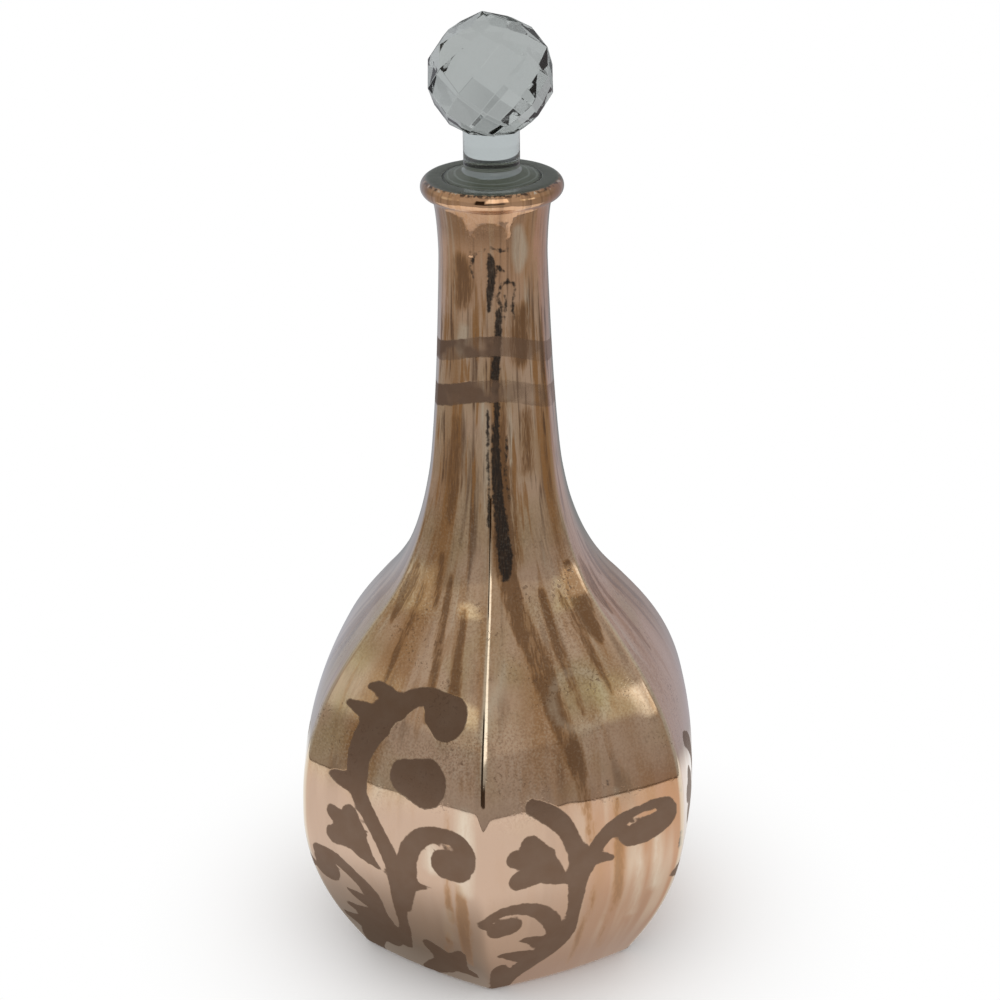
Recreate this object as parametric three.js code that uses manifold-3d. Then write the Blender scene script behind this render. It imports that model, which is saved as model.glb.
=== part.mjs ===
// Six-sided glass decanter with a ground-in stopper and a cut-glass ball finial.
// Millimetres, +Z up. The foot stands on z = 0, the bottle's axis is the Z axis,
// and one panel edge of the bottle faces -Y.
import * as THREE from 'three';
import * as BufferGeometryUtils from 'three/addons/utils/BufferGeometryUtils.js';
import Module from 'manifold-3d';

const wasm = await Module();
wasm.setup();

// Bottle outline, measured along a panel edge
const panelCount = 6;
const footCornerRadius = 50;
const heelHeight = 2;
const bellyCornerRadius = 68.4;
const bellyHeight = 55.5;
const shoulderCornerRadius = 42.2;
const shoulderHeight = 115;
const neckRootRadius = 21.8;
const neckRootHeight = 158;
const waistRadius = 16.1;
const waistHeight = 228;

// Slopes of the outline: outward run for each unit of rise
const footSlopeShare = 0.7;
const shoulderSlopeShare = -0.86;
const neckRootSlopeShare = -0.18;
const lipSlopeShare = 0.25;

// Handles of the curves between two heights, as shares of the rise
const lowerHandleShares = [0.55, 0.08];
const upperHandleShares = [0.53, 0.2];
const hollowHandleShares = [0.07, 0.7];
const neckHandleShares = [0.2, 0.06];
const flareHandleShares = [0.3, 0.25];

// How far the section swells from flat panels, 0, towards a circle, 1
const panelBulgeShare = 0.28;
const neckBulgeShare = 0.6;
const innerBulgeShare = 0.25;
const panelFadeStart = 110;
const panelFadeMiddle = 190;
const panelFadeEnd = 232;

// Glass thickness and the push-up under the foot
const wall = 3;
const baseThickness = 6;
const innerHeelRadius = 14;
const kickRadius = 30;
const kickHeight = 4;

// Lip and mouth
const lipHeight = 250;
const lipRadius = 21;
const beadRadius = 3;
const beadFootAngle = THREE.MathUtils.degToRad(-100);
const mouthEdgeRadius = 1.2;
const seatRunout = 5;

// Stopper
const plugRadius = 14.05;
const plugLength = 25;
const plugTaperShare = 0.05;
const plugEdgeRadius = 0.8;
const plugCrownRise = 1.6;
const seatClearance = 0.3;
const stemRadius = 8.2;
const stemFilletRadius = 1.5;
const stemLength = 10.7;

// Ball finial: every facet touches a sphere of ballFlatRadius
const ballFlatRadius = 17.2;
const ballFacetsAround = 8;
const ballRowsAbove = 4;
const ballRowsBelow = 3;
const ballLean = THREE.MathUtils.degToRad(6.5);
const ballTwist = THREE.MathUtils.degToRad(-1.6);
const bondLine = 0.1;

// Cutting blocks and blanks reach this far past the surface that is cut
const overrun = 4;

// How finely the surfaces are divided
const panelStepShares = [0, 0.1, 0.3, 0.5, 0.7, 0.9];
const domeRingShares = [0.35, 0.7, 1];
const stepsAroundStopper = 40;
const arcSteps = 5;

const quarterTurn = Math.PI / 2;
const halfPanel = Math.PI / panelCount;
const flatShare = Math.cos(halfPanel);
const mouthRadius = plugRadius + seatClearance;
const seatDepth = plugLength + seatClearance;
const beadCentre = new THREE.Vector2(lipRadius - beadRadius, lipHeight - beadRadius);
const stemFoot = lipHeight + plugCrownRise + stemFilletRadius;
const stemTop = stemFoot + stemLength;

// The ball stands on a flat that is just as wide as the stem
const ballSeatDrop = Math.sqrt(ballFlatRadius ** 2 - stemRadius ** 2);
const ballHeight = stemTop + bondLine + ballSeatDrop;

// Radius from the axis to the middle of a panel
function panelRadius(cornerRadius, bulgeShare) {
  return cornerRadius * (flatShare + (1 - flatShare) * bulgeShare);
}

// Radius at an angle measured from the middle of the panel
function sectionRadius(cornerRadius, bulgeShare, offMiddle) {
  const flat = flatShare / Math.cos(offMiddle);
  return cornerRadius * (flat + (1 - flat) * bulgeShare);
}

// The panels fade into a round neck
function bulgeShareAt(height) {
  const { clamp, lerp } = THREE.MathUtils;
  const lower = clamp((height - panelFadeStart) / (panelFadeMiddle - panelFadeStart), 0, 1);
  const upper = clamp((height - panelFadeMiddle) / (panelFadeEnd - panelFadeMiddle), 0, 1);
  return lerp(lerp(panelBulgeShare, neckBulgeShare, lower), 1, upper);
}

// A curve up the outline that leaves and arrives at the given slopes
function outlineCurve(start, startSlope, end, endSlope, handleShares) {
  const rise = end.y - start.y;
  const leave = rise * handleShares[0];
  const arrive = rise * handleShares[1];
  return new THREE.CubicBezierCurve(
    start,
    new THREE.Vector2(start.x + startSlope * leave, start.y + leave),
    new THREE.Vector2(end.x - endSlope * arrive, end.y - arrive),
    end,
  );
}

// The rounded edge between the flat foot and the body
function heelCurve() {
  const end = new THREE.Vector2(footCornerRadius, heelHeight);
  const corner = new THREE.Vector2(footCornerRadius - footSlopeShare * heelHeight, 0);
  const start = new THREE.Vector2(corner.x - corner.distanceTo(end), 0);
  return new THREE.QuadraticBezierCurve(start, corner, end);
}

function arcPoints(centre, radius, fromAngle, toAngle, steps) {
  const clockwise = toAngle < fromAngle;
  const arc = new THREE.EllipseCurve(
    centre.x, centre.y, radius, radius, fromAngle, toAngle, clockwise,
  );
  return arc.getPoints(steps);
}

// Corner radius against height, from the heel to the underside of the lip's bead
function outlinePoints() {
  const heel = heelCurve();
  const belly = new THREE.Vector2(bellyCornerRadius, bellyHeight);
  const shoulder = new THREE.Vector2(shoulderCornerRadius, shoulderHeight);
  const neckRoot = new THREE.Vector2(neckRootRadius, neckRootHeight);
  const waist = new THREE.Vector2(waistRadius, waistHeight);
  const beadFoot = arcPoints(beadCentre, beadRadius, beadFootAngle, quarterTurn, 1)[0];
  const lower = outlineCurve(heel.v2, footSlopeShare, belly, 0, lowerHandleShares);
  const upper = outlineCurve(belly, 0, shoulder, shoulderSlopeShare, upperHandleShares);
  const hollow = outlineCurve(
    shoulder, shoulderSlopeShare, neckRoot, neckRootSlopeShare, hollowHandleShares,
  );
  const neck = outlineCurve(neckRoot, neckRootSlopeShare, waist, 0, neckHandleShares);
  const flare = outlineCurve(waist, 0, beadFoot, lipSlopeShare, flareHandleShares);
  return [
    ...heel.getPoints(3),
    ...lower.getPoints(8).slice(1),
    ...upper.getPoints(9).slice(1),
    ...hollow.getPoints(8).slice(1),
    ...neck.getPoints(6).slice(1),
    ...flare.getPoints(4).slice(1),
  ];
}

function cornerRadiusAt(outline, height) {
  const above = outline.findIndex((point) => point.y >= height);
  const [low, high] = [outline[above - 1], outline[above]];
  const share = (height - low.y) / (high.y - low.y);
  return THREE.MathUtils.lerp(low.x, high.x, share);
}

function roundRing(radius, height) {
  return { height, cornerRadius: radius, bulgeShare: 1 };
}

// The domed push-up, from its centre out to the flat foot
function kickRings() {
  return domeRingShares.map((share) => (
    roundRing(kickRadius * share, kickHeight * (1 - share ** 2))
  ));
}

// Over the bead, round the edge of the mouth and down the ground seat
function lipRings() {
  const edgeCentre = new THREE.Vector2(
    mouthRadius + mouthEdgeRadius, lipHeight - mouthEdgeRadius,
  );
  const bead = arcPoints(beadCentre, beadRadius, beadFootAngle, quarterTurn, 2 * arcSteps);
  const edge = arcPoints(edgeCentre, mouthEdgeRadius, quarterTurn, Math.PI, arcSteps - 2);
  const seatEnd = new THREE.Vector2(
    mouthRadius - plugTaperShare * seatDepth, lipHeight - seatDepth,
  );
  const points = [...bead.slice(1), ...edge, seatEnd];
  return points.map((point) => roundRing(point.x, point.y));
}

// A ring of the inner wall, drawn in further by the inset where the heel turns
function innerRing(outline, height, inset) {
  const outerBulge = bulgeShareAt(height);
  const innerBulge = Math.min(1, outerBulge + innerBulgeShare);
  const outerPanel = panelRadius(cornerRadiusAt(outline, height), outerBulge);
  const cornerRadius = (outerPanel - wall - inset) / panelRadius(1, innerBulge);
  return { height, cornerRadius, bulgeShare: innerBulge };
}

// From below the seat down the inner wall, round the inner heel and over the floor
function innerRings(outline) {
  const top = lipHeight - seatDepth - seatRunout;
  const bottom = baseThickness + innerHeelRadius;
  const heights = outline.map((point) => point.y);
  const wallHeights = heights.filter((height) => height < top && height > bottom);
  const rings = wallHeights.reverse().map((height) => innerRing(outline, height, 0));
  for (let step = 0; step <= arcSteps; step++) {
    const turn = quarterTurn * step / arcSteps;
    const drop = innerHeelRadius * Math.sin(turn);
    const inset = innerHeelRadius * (1 - Math.cos(turn));
    rings.push(innerRing(outline, bottom - drop, inset));
  }
  const floorEdge = rings.at(-1);
  for (const share of domeRingShares.slice(0, -1).reverse()) {
    const height = baseThickness + kickHeight * (1 - share ** 2);
    rings.push({ ...floorEdge, height, cornerRadius: floorEdge.cornerRadius * share });
  }
  return rings;
}

// A closed skin through rings of panels, from one point on the axis to another
function loftRings(rings, firstHeight, lastHeight) {
  const around = panelCount * panelStepShares.length;
  const positions = [0, 0, firstHeight];
  for (const { height, cornerRadius, bulgeShare } of rings) {
    for (let panel = 0; panel < panelCount; panel++) {
      for (const share of panelStepShares) {
        const angle = (panel + share) * 2 * halfPanel;
        const offMiddle = (share - 0.5) * 2 * halfPanel;
        const radius = sectionRadius(cornerRadius, bulgeShare, offMiddle);
        positions.push(radius * Math.sin(angle), -radius * Math.cos(angle), height);
      }
    }
  }
  positions.push(0, 0, lastHeight);
  const last = rings.length * around + 1;
  const at = (ring, step) => 1 + ring * around + step % around;
  const indices = [];
  for (let step = 0; step < around; step++) {
    indices.push(0, at(0, step + 1), at(0, step));
    indices.push(last, at(rings.length - 1, step), at(rings.length - 1, step + 1));
    for (let ring = 0; ring < rings.length - 1; ring++) {
      indices.push(at(ring, step), at(ring, step + 1), at(ring + 1, step + 1));
      indices.push(at(ring, step), at(ring + 1, step + 1), at(ring + 1, step));
    }
  }
  const geometry = new THREE.BufferGeometry();
  geometry.setAttribute('position', new THREE.Float32BufferAttribute(positions, 3));
  geometry.setIndex(indices);
  geometry.computeVertexNormals();
  return geometry;
}

// One piece of blown glass: foot, panelled body, neck, lip and the hollow inside
function makeBottle() {
  const outline = outlinePoints();
  const outerRings = outline.map((point) => (
    { height: point.y, cornerRadius: point.x, bulgeShare: bulgeShareAt(point.y) }
  ));
  const rings = [...kickRings(), ...outerRings, ...lipRings(), ...innerRings(outline)];
  const geometry = loftRings(rings, kickHeight, baseThickness + kickHeight);
  const lustre = new THREE.MeshStandardMaterial({
    color: 0xb08a70, roughness: 0.16, metalness: 0.9,
  });
  const bottle = new THREE.Mesh(geometry, lustre);
  bottle.name = 'bottle';
  return bottle;
}

// The ground plug that seats in the mouth, with its crown and stem
function makeStopper() {
  const plugFoot = lipHeight - plugLength;
  const footRadius = plugRadius - plugTaperShare * plugLength;
  const footEdge = new THREE.Vector2(footRadius - plugEdgeRadius, plugFoot + plugEdgeRadius);
  const topEdge = new THREE.Vector2(plugRadius - plugEdgeRadius, lipHeight - plugEdgeRadius);
  const fillet = new THREE.Vector2(stemRadius + stemFilletRadius, stemFoot);
  const profile = [
    new THREE.Vector2(0, plugFoot),
    ...arcPoints(footEdge, plugEdgeRadius, -quarterTurn, 0, arcSteps - 2),
    ...arcPoints(topEdge, plugEdgeRadius, 0, quarterTurn, arcSteps - 2),
    ...arcPoints(fillet, stemFilletRadius, -quarterTurn, -Math.PI, arcSteps),
    new THREE.Vector2(stemRadius, stemTop),
    new THREE.Vector2(0, stemTop),
  ];
  const geometry = new THREE.LatheGeometry(profile, stepsAroundStopper);
  geometry.rotateX(quarterTurn);
  const clearGlass = new THREE.MeshStandardMaterial({
    color: 0xd6dcda, roughness: 0.08, metalness: 0,
  });
  const stopper = new THREE.Mesh(geometry, clearGlass);
  stopper.name = 'stopper';
  return stopper;
}

// Rows of facets, each row turned by half a facet. With this ratio between the
// rows, four facets meet at every point and all of them are kites.
function facetNormals() {
  const halfFacet = Math.PI / ballFacetsAround;
  const rowRatio = (1 + Math.sin(halfFacet)) / Math.cos(halfFacet);
  const leanAxis = new THREE.Vector3(0, 1, 0);
  const normals = [];
  for (let row = -ballRowsAbove; row <= ballRowsBelow; row++) {
    const fromTop = 2 * Math.atan(rowRatio ** row);
    const stagger = Math.abs(row) % 2;
    for (let facet = 0; facet < ballFacetsAround; facet++) {
      const around = ballTwist + (2 * facet + stagger) * halfFacet;
      const normal = new THREE.Vector3(
        Math.sin(fromTop) * Math.sin(around),
        -Math.sin(fromTop) * Math.cos(around),
        Math.cos(fromTop),
      );
      normals.push(normal.applyAxisAngle(leanAxis, -ballLean));
    }
  }
  return normals;
}

function solidFrom(geometry) {
  const bare = geometry.clone();
  bare.deleteAttribute('normal');
  bare.deleteAttribute('uv');
  const merged = BufferGeometryUtils.mergeVertices(bare);
  return new wasm.Manifold(new wasm.Mesh({
    numProp: 3,
    vertProperties: merged.attributes.position.array,
    triVerts: new Uint32Array(merged.index.array),
  }));
}

function geometryFrom(solid) {
  const { vertProperties, triVerts } = solid.getMesh();
  const geometry = new THREE.BufferGeometry();
  geometry.setAttribute('position', new THREE.BufferAttribute(vertProperties, 3));
  geometry.setIndex(new THREE.BufferAttribute(triVerts, 1));
  geometry.computeVertexNormals();
  return geometry;
}

// A block whose inner face lies across the normal, at the given distance
function facetBlock(normal, distance) {
  const side = 2 * (ballFlatRadius + overrun);
  const depth = 2 * overrun;
  const block = new THREE.BoxGeometry(side, side, depth);
  block.translate(0, 0, distance + depth / 2);
  const turn = new THREE.Quaternion().setFromUnitVectors(new THREE.Vector3(0, 0, 1), normal);
  block.applyQuaternion(turn);
  return solidFrom(block);
}

// A glass ball ground flat, facet by facet, then cut across for its seat
function makeBall() {
  const blank = new THREE.SphereGeometry(ballFlatRadius + overrun, 24, 16);
  let ball = solidFrom(blank);
  for (const normal of facetNormals()) {
    ball = ball.subtract(facetBlock(normal, ballFlatRadius));
  }
  const down = new THREE.Vector3(0, 0, -1);
  ball = ball.subtract(facetBlock(down, ballSeatDrop));
  const cutGlass = new THREE.MeshStandardMaterial({
    color: 0xdfe5e3, roughness: 0.03, metalness: 0, flatShading: true,
  });
  const mesh = new THREE.Mesh(geometryFrom(ball), cutGlass);
  mesh.name = 'stopper_ball';
  mesh.position.z = ballHeight;
  return mesh;
}

const decanter = new THREE.Group();
decanter.add(makeBottle(), makeStopper(), makeBall());

export default decanter;
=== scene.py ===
import math

import bpy
import numpy as np
from mathutils import Euler, Matrix, Vector


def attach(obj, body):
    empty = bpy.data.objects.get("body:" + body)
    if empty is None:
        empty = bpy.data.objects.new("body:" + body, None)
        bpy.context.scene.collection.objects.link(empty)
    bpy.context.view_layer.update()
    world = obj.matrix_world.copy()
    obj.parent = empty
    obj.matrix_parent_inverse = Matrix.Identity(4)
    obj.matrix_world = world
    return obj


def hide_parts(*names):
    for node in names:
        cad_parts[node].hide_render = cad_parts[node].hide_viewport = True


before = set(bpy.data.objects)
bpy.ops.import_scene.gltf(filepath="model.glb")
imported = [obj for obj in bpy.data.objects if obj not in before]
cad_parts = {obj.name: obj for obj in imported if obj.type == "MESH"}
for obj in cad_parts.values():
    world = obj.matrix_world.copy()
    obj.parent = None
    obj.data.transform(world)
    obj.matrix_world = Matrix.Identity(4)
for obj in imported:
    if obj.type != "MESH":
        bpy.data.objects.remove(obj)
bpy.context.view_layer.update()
mm = 0.001
bpy.context.scene.view_settings.view_transform = "Standard"
print("frame loaded")


# The photograph's camera. Azimuth 0 looks along +Y from the -Y side.
camera = {
    "place": (0.0535, -0.6478, 0.4407),  # metres
    "farthest": 20,
    "pitch": 24.32,                      # degrees below the horizon
    "turnRight": 0.09,                   # degrees away from the bottle's axis
    "roll": -0.81,
    "lens": 83.6,                        # on a 36 mm sensor
}


def addCamera():
    x, y, _ = camera["place"]
    heading = math.atan2(-x, -y)                           # towards the axis, from +Y to +X
    heading += math.radians(camera["turnRight"])
    tilt = math.radians(90 - camera["pitch"])
    turn = Euler((tilt, 0, -heading), "XYZ").to_matrix()
    turn = turn @ Matrix.Rotation(math.radians(camera["roll"]), 3, "Z")
    bpy.ops.object.camera_add(location=camera["place"], rotation=turn.to_euler())
    made = bpy.context.object
    made.data.lens = camera["lens"]
    made.data.clip_end = camera["farthest"]
    bpy.context.scene.camera = made


def toLinear(red, green, blue):
    # a screen colour, 0 to 255, as the shader wants it
    shares = [c / 255 for c in (red, green, blue)]
    linear = [c / 12.92 if c <= 0.04045 else ((c + 0.055) / 1.055) ** 2.4 for c in shares]
    return (*linear, 1.0)


class Wire:
    # a number that varies over a surface; sums on it add Math nodes
    def __init__(self, recipe, socket):
        self.recipe, self.socket = recipe, socket

    def math(self, operation, *values):
        return self.recipe.wire(self.recipe.node("ShaderNodeMath", {"operation": operation}, *values))

    def __add__(self, other):
        return self.math("ADD", self, other)

    def __sub__(self, other):
        return self.math("SUBTRACT", self, other)

    def __rsub__(self, other):
        return self.math("SUBTRACT", other, self)

    def __mul__(self, other):
        return self.math("MULTIPLY", self, other)

    def __truediv__(self, other):
        return self.math("DIVIDE", self, other)

    __radd__ = __add__
    __rmul__ = __mul__

    def power(self, exponent):
        return self.math("POWER", self, exponent)

    def absolute(self):
        return self.math("ABSOLUTE", self)

    def highest(self, other):
        return self.math("MAXIMUM", self, other)

    def lowest(self, other):
        return self.math("MINIMUM", self, other)

    def step(self, start, end):
        # 0 before start and 1 after end, with a soft change between
        settings = {"interpolation_type": "SMOOTHSTEP"}
        node = self.recipe.node("ShaderNodeMapRange", settings, self, start, end)
        return self.recipe.wire(node)

    def within(self, start, end, soft):
        # 1 from start to end, with both edges soft
        return self.step(start - soft, start + soft) * (1 - self.step(end - soft, end + soft))


class Recipe:
    # the nodes of one material or of the world
    def __init__(self, tree):
        self.tree = tree
        tree.nodes.clear()

    def node(self, kind, settings=None, *values, **named):
        made = self.tree.nodes.new(kind)
        for name, value in (settings or {}).items():
            setattr(made, name, value)
        for index, value in enumerate(values):
            self.feed(made.inputs[index], value)
        for name, value in named.items():
            self.feed(made.inputs[name.replace("_", " ")], value)
        return made

    def feed(self, socket, value):
        # a value is a wire, a node's output, a number, a linear colour or a screen colour of three numbers
        if isinstance(value, Wire):
            value = value.socket
        if isinstance(value, bpy.types.NodeSocket):
            self.tree.links.new(value, socket)
        elif isinstance(value, tuple) and len(value) == 3:
            socket.default_value = toLinear(*value)
        else:
            socket.default_value = value

    def wire(self, node, output=0):
        return Wire(self, node.outputs[output])

    def place(self):
        return self.node("ShaderNodeTexCoord").outputs["Object"]

    def parts(self, vector):
        # x, y and z of a vector
        node = self.node("ShaderNodeSeparateXYZ", None, vector)
        return [self.wire(node, i) for i in range(3)]

    def degrees(self, operation, *values):
        # what an inverse function of angles gives, in degrees
        return self.wire(self.node("ShaderNodeMath", {"operation": operation}, *values)) * (180 / math.pi)

    def blend(self, factor, first, second):
        # two colours, the second over the first
        node = self.node("ShaderNodeMix", {"data_type": "RGBA", "clamp_factor": True}, factor)
        self.feed(node.inputs[6], first)
        self.feed(node.inputs[7], second)
        return node.outputs[2]

    def noise(self, vector, scale, detail=2.0, roughness=0.5):
        return self.wire(self.node("ShaderNodeTexNoise", None, Vector=vector, Scale=scale, Detail=detail,
                                   Roughness=roughness))

    def bump(self, height, strength, depth):
        node = self.node("ShaderNodeBump", None, Strength=strength, Distance=depth * mm, Height=height)
        return node.outputs[0]

    def principled(self, **inputs):
        skin = self.node("ShaderNodeBsdfPrincipled", None, **inputs)
        self.node("ShaderNodeOutputMaterial", None, skin.outputs[0])

    def mixShader(self, factor, first, second):
        node = self.node("ShaderNodeMixShader", None, factor)
        self.feed(node.inputs[1], first)
        self.feed(node.inputs[2], second)
        return node.outputs[0]


def newMaterial(name):
    material = bpy.data.materials.new(name)
    material.use_nodes = True
    return material, Recipe(material.node_tree)


# Floor, backdrop and light. Tones are screen colours, directions are seen from the bottle:
# azimuth 0 is towards the camera, and 90 is to its right.
studio = {
    "floorSize": 8.0,
    "floorDrop": 0.0004,
    "fade": (0.03, 0.13),                  # from the floor's soft shadow to plain white
    "floorColor": (252, 251, 250),
    "sheet": (-0.345, 0.292, -0.375, 0.09),  # left, right, front and back edge of the sheet that it stands on
    "sheetBlur": (0.002, 0.004, 0.04),     # at its sides, front and back
    "sheetTone": (250, 249, 247),
    "footShadeLeft": (158, 148, 137), "footShadeRight": (204, 194, 184),
    "footShadeTurn": (-0.03, 0.02), "footShadeEdge": (0.05, 0.12),
    "sheetRim": 0.02, "rimTone": (104, 94, 84),   # its shadow on the table
    "tableTone": (172, 168, 163),
    "horizonTone": (170, 165, 159), "wallTone": (186, 181, 173),
    "horizon": (18, 21),                   # elevations
    "behind": (128, 131, 131), "behindLeft": (184, 184, 190), "behindRight": (180, 172, 176),
    "behindTurn": (-0.1, 0.1), "behindSpread": (0.1, 0.6), "behindStart": (0.3, 0.7), "behindBlur": 0.06,
    "domeRadius": 2.4, "domeSteps": (48, 24),
    "patchScale": 2.3, "patchDepth": 0.26, "patchEdge": (0.4, 0.6),  # in that soft white
    "diffuseLevel": 0.94,
    "cards": {                             # azimuth from and to, elevation from and to, soft edge, tone
        "leftWindow": (-84, -68, 12, 30, 3, (216, 220, 214)),
        "leftStrip": (-56, -50, 27, 34, 1.6, (240, 240, 222)),
        "rightWindow": (62, 71, 19, 34, 2, (204, 204, 188)),
        "rightStrip": (68, 78, 16, 28, 1.4, (276, 280, 272)),
        "darkFigure": (-26, -7, -6, 42, 2.5, (50, 42, 35)),
        "darkStand": (-20, 14, -6, 12, 3, (66, 56, 48)),
        "lampFront": (-4, 26, 22, 62, 2, (290, 287, 280)),
    },
    "boxes": {                             # azimuth, elevation, width, height and brightness of each lamp
        "keyRight": (60, 52, 0.6, 0.6, 0.5),
        "keyLeft": (-70, 50, 0.6, 0.6, 0.5),
    },
    "boxDistance": 1.0, "boxTarget": 0.12,
}


def direction(azimuth, elevation):
    a, e = math.radians(azimuth), math.radians(elevation)
    return Vector((math.sin(a) * math.cos(e), -math.cos(a) * math.cos(e), math.sin(e)))


def toneBehind(mix, x, y):
    # what the sides mirror: dark straight behind the bottle and paler to its left and right
    pale = mix.blend(x.step(*studio["behindTurn"]), studio["behindLeft"], studio["behindRight"])
    aside = (x / y.highest(0.01)).absolute()
    return mix.blend(aside.step(*studio["behindSpread"]), studio["behind"], pale)


def finishFloor(floor):
    material, mix = newMaterial("paleFloor")
    x, y, _ = mix.parts(mix.place())
    radius = (x * x + y * y).power(0.5)
    rays = mix.node("ShaderNodeLightPath")
    glossy = mix.wire(rays, "Is Glossy Ray") * (1 - mix.wire(rays, "Is Transmission Ray"))
    pale = mix.node("ShaderNodeBsdfDiffuse", None, studio["floorColor"]).outputs[0]
    white = mix.node("ShaderNodeEmission", None, (1, 1, 1, 1), 1.0).outputs[0]
    left, right, front, back = studio["sheet"]
    sideBlur, frontBlur, backBlur = studio["sheetBlur"]
    onSheet = x.within(left, right, sideBlur) * y.step(front - frontBlur, front + frontBlur)
    onSheet = onSheet * (1 - y.step(back, back + backBlur))
    rim = studio["sheetRim"]
    inRim = x.step(left - rim, left - rim / 2) * (1 - x.step(right + rim / 2, right + rim))
    inRim = inRim * y.step(front - rim, front - rim / 2) * (1 - y.step(back - backBlur, back))
    foot = mix.blend(x.step(*studio["footShadeTurn"]), studio["footShadeLeft"], studio["footShadeRight"])
    sheetTone = mix.blend(radius.step(*studio["footShadeEdge"]), foot, studio["sheetTone"])
    behind = toneBehind(mix, x, y)
    tone = mix.blend(y.step(back, back + studio["behindBlur"]), studio["tableTone"], behind)
    tone = mix.blend(inRim, tone, studio["rimTone"])
    tone = mix.blend(onSheet, tone, sheetTone)
    mirrored = mix.node("ShaderNodeEmission", None, tone, 1.0).outputs[0]
    seen = mix.mixShader(radius.step(*studio["fade"]), pale, white)
    mix.node("ShaderNodeOutputMaterial", None, mix.mixShader(glossy, seen, mirrored))
    floor.data.materials.append(material)


def finishDome(dome):
    material, mix = newMaterial("roomTone")
    place = mix.place()
    x, y, z = (part / studio["domeRadius"] for part in mix.parts(place))
    azimuth = mix.degrees("ARCTAN2", x, y * -1)
    elevation = mix.degrees("ARCSINE", z)
    tone = mix.blend(elevation.step(*studio["horizon"]), studio["horizonTone"], studio["wallTone"])
    tone = mix.blend(y.step(*studio["behindStart"]), tone, toneBehind(mix, x, y))
    for start, end, low, high, soft, color in studio["cards"].values():
        inside = azimuth.within(start, end, soft) * elevation.within(low, high, soft)
        tone = mix.blend(inside, tone, color)
    through = mix.wire(mix.node("ShaderNodeLightPath"), "Is Transmission Ray")  # glass shows a soft white
    patches = mix.noise(place, studio["patchScale"], 1.0).step(*studio["patchEdge"])
    white = mix.blend(patches * studio["patchDepth"], (1, 1, 1, 1), (0, 0, 0, 1))
    tone = mix.blend(through, tone, white)
    emission = mix.node("ShaderNodeEmission", None, tone, 1.0)
    mix.node("ShaderNodeOutputMaterial", None, emission.outputs[0])
    dome.data.materials.append(material)


def addStudio():
    bpy.ops.mesh.primitive_plane_add(size=studio["floorSize"], location=(0, 0, -studio["floorDrop"]))
    floor = bpy.context.object
    floor.name = "floor"
    finishFloor(floor)

    segments, rings = studio["domeSteps"]
    bpy.ops.mesh.primitive_uv_sphere_add(segments=segments, ring_count=rings, radius=studio["domeRadius"])
    dome = bpy.context.object
    dome.name = "backdrop"
    finishDome(dome)
    dome.visible_camera = False
    dome.visible_diffuse = False
    dome.visible_shadow = False

    world = bpy.data.worlds.new("softLight")
    world.use_nodes = True
    bpy.context.scene.world = world
    mix = Recipe(world.node_tree)
    rays = mix.node("ShaderNodeLightPath")
    shown = mix.wire(rays, "Is Camera Ray").highest(mix.wire(rays, "Is Glossy Ray"))
    shown = shown.highest(mix.wire(rays, "Is Transmission Ray"))
    level = studio["diffuseLevel"]
    light = mix.node("ShaderNodeBackground", None, (1, 1, 1, 1), shown * (1 - level) + level)
    mix.node("ShaderNodeOutputWorld", None, light.outputs[0])

    target = Vector((0, 0, studio["boxTarget"]))
    for name, (azimuth, elevation, width, height, brightness) in studio["boxes"].items():
        toBox = direction(azimuth, elevation)
        place = target + toBox * studio["boxDistance"]
        turn = toBox.to_track_quat("Z", "Y").to_euler()
        bpy.ops.object.light_add(type="AREA", location=place, rotation=turn)
        lamp = bpy.context.object
        lamp.name = name
        lamp.data.shape = "RECTANGLE"
        lamp.data.size, lamp.data.size_y = width, height
        lamp.data.energy = brightness * math.pi * width * height
        lamp.visible_glossy = False


# The bottle, in millimetres. Radii are taken at the ridges between the panels.
bottle = {
    "panels": 6,
    "ridgeRounding": 2.0, "ridgeSteps": 4, "ridgeProfile": 0.8, "panelCuts": 7, "smoothing": 2,
    "longEdge": 3,                               # in ridge roundings
    "heel": ((-2.4, 0), (-0.9, 0), (0.3, 0.35), (0.8, 1.1)),  # from where the foot's slope meets the table
    "foot": (50, 2), "footSlope": 0.7, "lipSlope": 0.25,
    "knots": {                                   # radius, height and slope between the foot and the lip
        "belly": (68.4, 55.5, 0), "shoulder": (42.2, 115, -0.86),
        "neckRoot": (21.8, 158, -0.18), "waist": (16.1, 228, 0),
    },
    "handles": ((0.55, 0.08), (0.53, 0.2), (0.07, 0.7), (0.2, 0.06), (0.3, 0.25)),  # shares of each rise
    "steps": (10, 13, 9, 11, 5),
    "bulge": ((110, 0.28), (190, 0.6), (232, 1.0)),  # height, how round the section is
    "innerBulge": 0.25,
    "wall": 3, "floor": 6, "innerHeel": 14, "innerHeelSteps": 6, "innerWallSteps": 25,
    "kickRadius": 30, "kickHeight": 4, "kickShares": (1, 0.7, 0.35), "kickTip": 0.3,
    "lipHeight": 250, "lipRadius": 21, "bead": 3, "beadFoot": -100, "beadSteps": 9,
    "mouth": 14.35, "mouthEdge": 0.7, "mouthEdgeSteps": 3,
    "seatLead": (0.1, 3), "seatEnd": (13.085, 224.7), "seatRunout": 5, "seatSlack": 0.3,
}


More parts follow.
